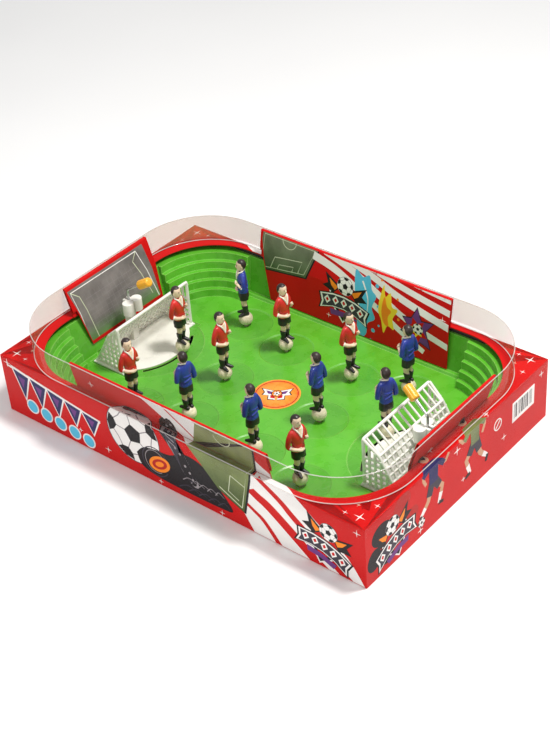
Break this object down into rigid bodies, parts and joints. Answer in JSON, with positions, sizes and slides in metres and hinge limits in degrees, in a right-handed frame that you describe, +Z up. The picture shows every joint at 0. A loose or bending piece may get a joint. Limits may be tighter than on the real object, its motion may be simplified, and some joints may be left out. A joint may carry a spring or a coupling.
{
  "type": "tabletop football game",
  "caption": "Boxed tabletop football game: printed carton, sunken green pitch, clear wall, two goals with crank-swung goalkeepers, and sprung players.",
  "frame": {"origin": "middle of the carton's flat underside", "axes": "+X along the long side towards the blue goal, +Y from the front to the back, +Z up"},
  "size_m": [0.45, 0.294, 0.099],
  "materials": {
    "carton_print": "printed, varnished",
    "flap_print": "printed, varnished",
    "clear_sheet": "clear thin formed sheet",
    "pitch_green": "formed sheet, satin gloss",
    "disc_print": "printed sticker",
    "white_plastic": "moulded",
    "steel_wire": "drawn wire",
    "orange_plastic": "moulded, ribbed",
    "red_player": "moulded and painted",
    "blue_player": "moulded and painted"
  },
  "bodies": {
    "table": {"carton_base": "carton_print", "carton_lid": "carton_print", "flap_front": "flap_print", "flap_back": "flap_print", "flap_left": "flap_print", "flap_right": "flap_print", "clear_cover": "clear_sheet", "pitch_tray": "pitch_green", "centre_disc": "disc_print", "goal_base_left": "white_plastic", "goal_frame_left": "white_plastic", "goal_net_left": "white_plastic", "lever_guide_left": "white_plastic", "goal_base_right": "white_plastic", "goal_frame_right": "white_plastic", "goal_net_right": "white_plastic", "lever_guide_right": "white_plastic"},
    "keeper_lever_left": {"crank_wire_left": "steel_wire", "lever_grip_left": "orange_plastic", "lever_clip_left": "steel_wire", "keeper_left": "red_player"},
    "keeper_lever_right": {"crank_wire_right": "steel_wire", "lever_grip_right": "orange_plastic", "lever_clip_right": "steel_wire", "keeper_right": "blue_player"},
    "red_1_mid": {"red_1_spring": "steel_wire"},
    "red_1_player": {"red_1": "red_player", "red_1_cap": "white_plastic"},
    "blue_1_mid": {"blue_1_spring": "steel_wire"},
    "blue_1_player": {"blue_1": "blue_player", "blue_1_cap": "white_plastic"},
    "red_2_mid": {"red_2_spring": "steel_wire"},
    "red_2_player": {"red_2": "red_player", "red_2_cap": "white_plastic"},
    "blue_2_mid": {"blue_2_spring": "steel_wire"},
    "blue_2_player": {"blue_2": "blue_player", "blue_2_cap": "white_plastic"},
    "red_3_mid": {"red_3_spring": "steel_wire"},
    "red_3_player": {"red_3": "red_player", "red_3_cap": "white_plastic"},
    "blue_3_mid": {"blue_3_spring": "steel_wire"},
    "blue_3_player": {"blue_3": "blue_player", "blue_3_cap": "white_plastic"},
    "red_4_mid": {"red_4_spring": "steel_wire"},
    "red_4_player": {"red_4": "red_player", "red_4_cap": "white_plastic"},
    "blue_4_mid": {"blue_4_spring": "steel_wire"},
    "blue_4_player": {"blue_4": "blue_player", "blue_4_cap": "white_plastic"},
    "red_5_mid": {"red_5_spring": "steel_wire"},
    "red_5_player": {"red_5": "red_player", "red_5_cap": "white_plastic"},
    "blue_5_mid": {"blue_5_spring": "steel_wire"},
    "blue_5_player": {"blue_5": "blue_player", "blue_5_cap": "white_plastic"}
  },
  "joints": [
    {"name": "keeper_swing_left", "type": "hinge", "parent": "table", "child": "keeper_lever_left", "pos_m": [-0.187, 0, 0.05], "axis": [0, 0, 1], "range_deg": [-46, 26]},
    {"name": "keeper_swing_right", "type": "hinge", "parent": "table", "child": "keeper_lever_right", "pos_m": [0.187, 0, 0.05], "axis": [0, 0, 1], "range_deg": [-20, 52]},
    {"name": "red_1_kick", "type": "hinge", "parent": "table", "child": "red_1_mid", "pos_m": [0.104, -0.085, 0.0156], "axis": [0, 1, 0], "range_deg": [-22, 22], "stiffness_Nm_per_rad": 0.25, "deforming": ["red_1_spring"]},
    {"name": "red_1_lean", "type": "hinge", "parent": "red_1_mid", "child": "red_1_player", "pos_m": [0.104, -0.085, 0.0156], "axis": [1, 0, 0], "range_deg": [-16, 16], "stiffness_Nm_per_rad": 0.25},
    {"name": "blue_1_kick", "type": "hinge", "parent": "table", "child": "blue_1_mid", "pos_m": [-0.104, 0.085, 0.0156], "axis": [0, 1, 0], "range_deg": [-22, 22], "stiffness_Nm_per_rad": 0.25, "deforming": ["blue_1_spring"]},
    {"name": "blue_1_lean", "type": "hinge", "parent": "blue_1_mid", "child": "blue_1_player", "pos_m": [-0.104, 0.085, 0.0156], "axis": [1, 0, 0], "range_deg": [-16, 16], "stiffness_Nm_per_rad": 0.25},
    {"name": "red_2_kick", "type": "hinge", "parent": "table", "child": "red_2_mid", "pos_m": [-0.106, -0.084, 0.0156], "axis": [0, 1, 0], "range_deg": [-22, 22], "stiffness_Nm_per_rad": 0.25, "deforming": ["red_2_spring"]},
    {"name": "red_2_lean", "type": "hinge", "parent": "red_2_mid", "child": "red_2_player", "pos_m": [-0.106, -0.084, 0.0156], "axis": [1, 0, 0], "range_deg": [-16, 16], "stiffness_Nm_per_rad": 0.25},
    {"name": "blue_2_kick", "type": "hinge", "parent": "table", "child": "blue_2_mid", "pos_m": [0.106, 0.084, 0.0156], "axis": [0, 1, 0], "range_deg": [-22, 22], "stiffness_Nm_per_rad": 0.25, "deforming": ["blue_2_spring"]},
    {"name": "blue_2_lean", "type": "hinge", "parent": "blue_2_mid", "child": "blue_2_player", "pos_m": [0.106, 0.084, 0.0156], "axis": [1, 0, 0], "range_deg": [-16, 16], "stiffness_Nm_per_rad": 0.25},
    {"name": "red_3_kick", "type": "hinge", "parent": "table", "child": "red_3_mid", "pos_m": [0.046, 0.07, 0.0156], "axis": [0, 1, 0], "range_deg": [-22, 22], "stiffness_Nm_per_rad": 0.25, "deforming": ["red_3_spring"]},
    {"name": "red_3_lean", "type": "hinge", "parent": "red_3_mid", "child": "red_3_player", "pos_m": [0.046, 0.07, 0.0156], "axis": [1, 0, 0], "range_deg": [-16, 16], "stiffness_Nm_per_rad": 0.25},
    {"name": "blue_3_kick", "type": "hinge", "parent": "table", "child": "blue_3_mid", "pos_m": [-0.046, -0.07, 0.0156], "axis": [0, 1, 0], "range_deg": [-22, 22], "stiffness_Nm_per_rad": 0.25, "deforming": ["blue_3_spring"]},
    {"name": "blue_3_lean", "type": "hinge", "parent": "blue_3_mid", "child": "blue_3_player", "pos_m": [-0.046, -0.07, 0.0156], "axis": [1, 0, 0], "range_deg": [-16, 16], "stiffness_Nm_per_rad": 0.25},
    {"name": "red_4_kick", "type": "hinge", "parent": "table", "child": "red_4_mid", "pos_m": [-0.06, 0, 0.0156], "axis": [0, 1, 0], "range_deg": [-22, 22], "stiffness_Nm_per_rad": 0.25, "deforming": ["red_4_spring"]},
    {"name": "red_4_lean", "type": "hinge", "parent": "red_4_mid", "child": "red_4_player", "pos_m": [-0.06, 0, 0.0156], "axis": [1, 0, 0], "range_deg": [-16, 16], "stiffness_Nm_per_rad": 0.25},
    {"name": "blue_4_kick", "type": "hinge", "parent": "table", "child": "blue_4_mid", "pos_m": [0.06, 0, 0.0156], "axis": [0, 1, 0], "range_deg": [-22, 22], "stiffness_Nm_per_rad": 0.25, "deforming": ["blue_4_spring"]},
    {"name": "blue_4_lean", "type": "hinge", "parent": "blue_4_mid", "child": "blue_4_player", "pos_m": [0.06, 0, 0.0156], "axis": [1, 0, 0], "range_deg": [-16, 16], "stiffness_Nm_per_rad": 0.25},
    {"name": "red_5_kick", "type": "hinge", "parent": "table", "child": "red_5_mid", "pos_m": [-0.04, 0.073, 0.0156], "axis": [0, 1, 0], "range_deg": [-22, 22], "stiffness_Nm_per_rad": 0.25, "deforming": ["red_5_spring"]},
    {"name": "red_5_lean", "type": "hinge", "parent": "red_5_mid", "child": "red_5_player", "pos_m": [-0.04, 0.073, 0.0156], "axis": [1, 0, 0], "range_deg": [-16, 16], "stiffness_Nm_per_rad": 0.25},
    {"name": "blue_5_kick", "type": "hinge", "parent": "table", "child": "blue_5_mid", "pos_m": [0.04, -0.073, 0.0156], "axis": [0, 1, 0], "range_deg": [-22, 22], "stiffness_Nm_per_rad": 0.25, "deforming": ["blue_5_spring"]},
    {"name": "blue_5_lean", "type": "hinge", "parent": "blue_5_mid", "child": "blue_5_player", "pos_m": [0.04, -0.073, 0.0156], "axis": [1, 0, 0], "range_deg": [-16, 16], "stiffness_Nm_per_rad": 0.25}
  ]
}
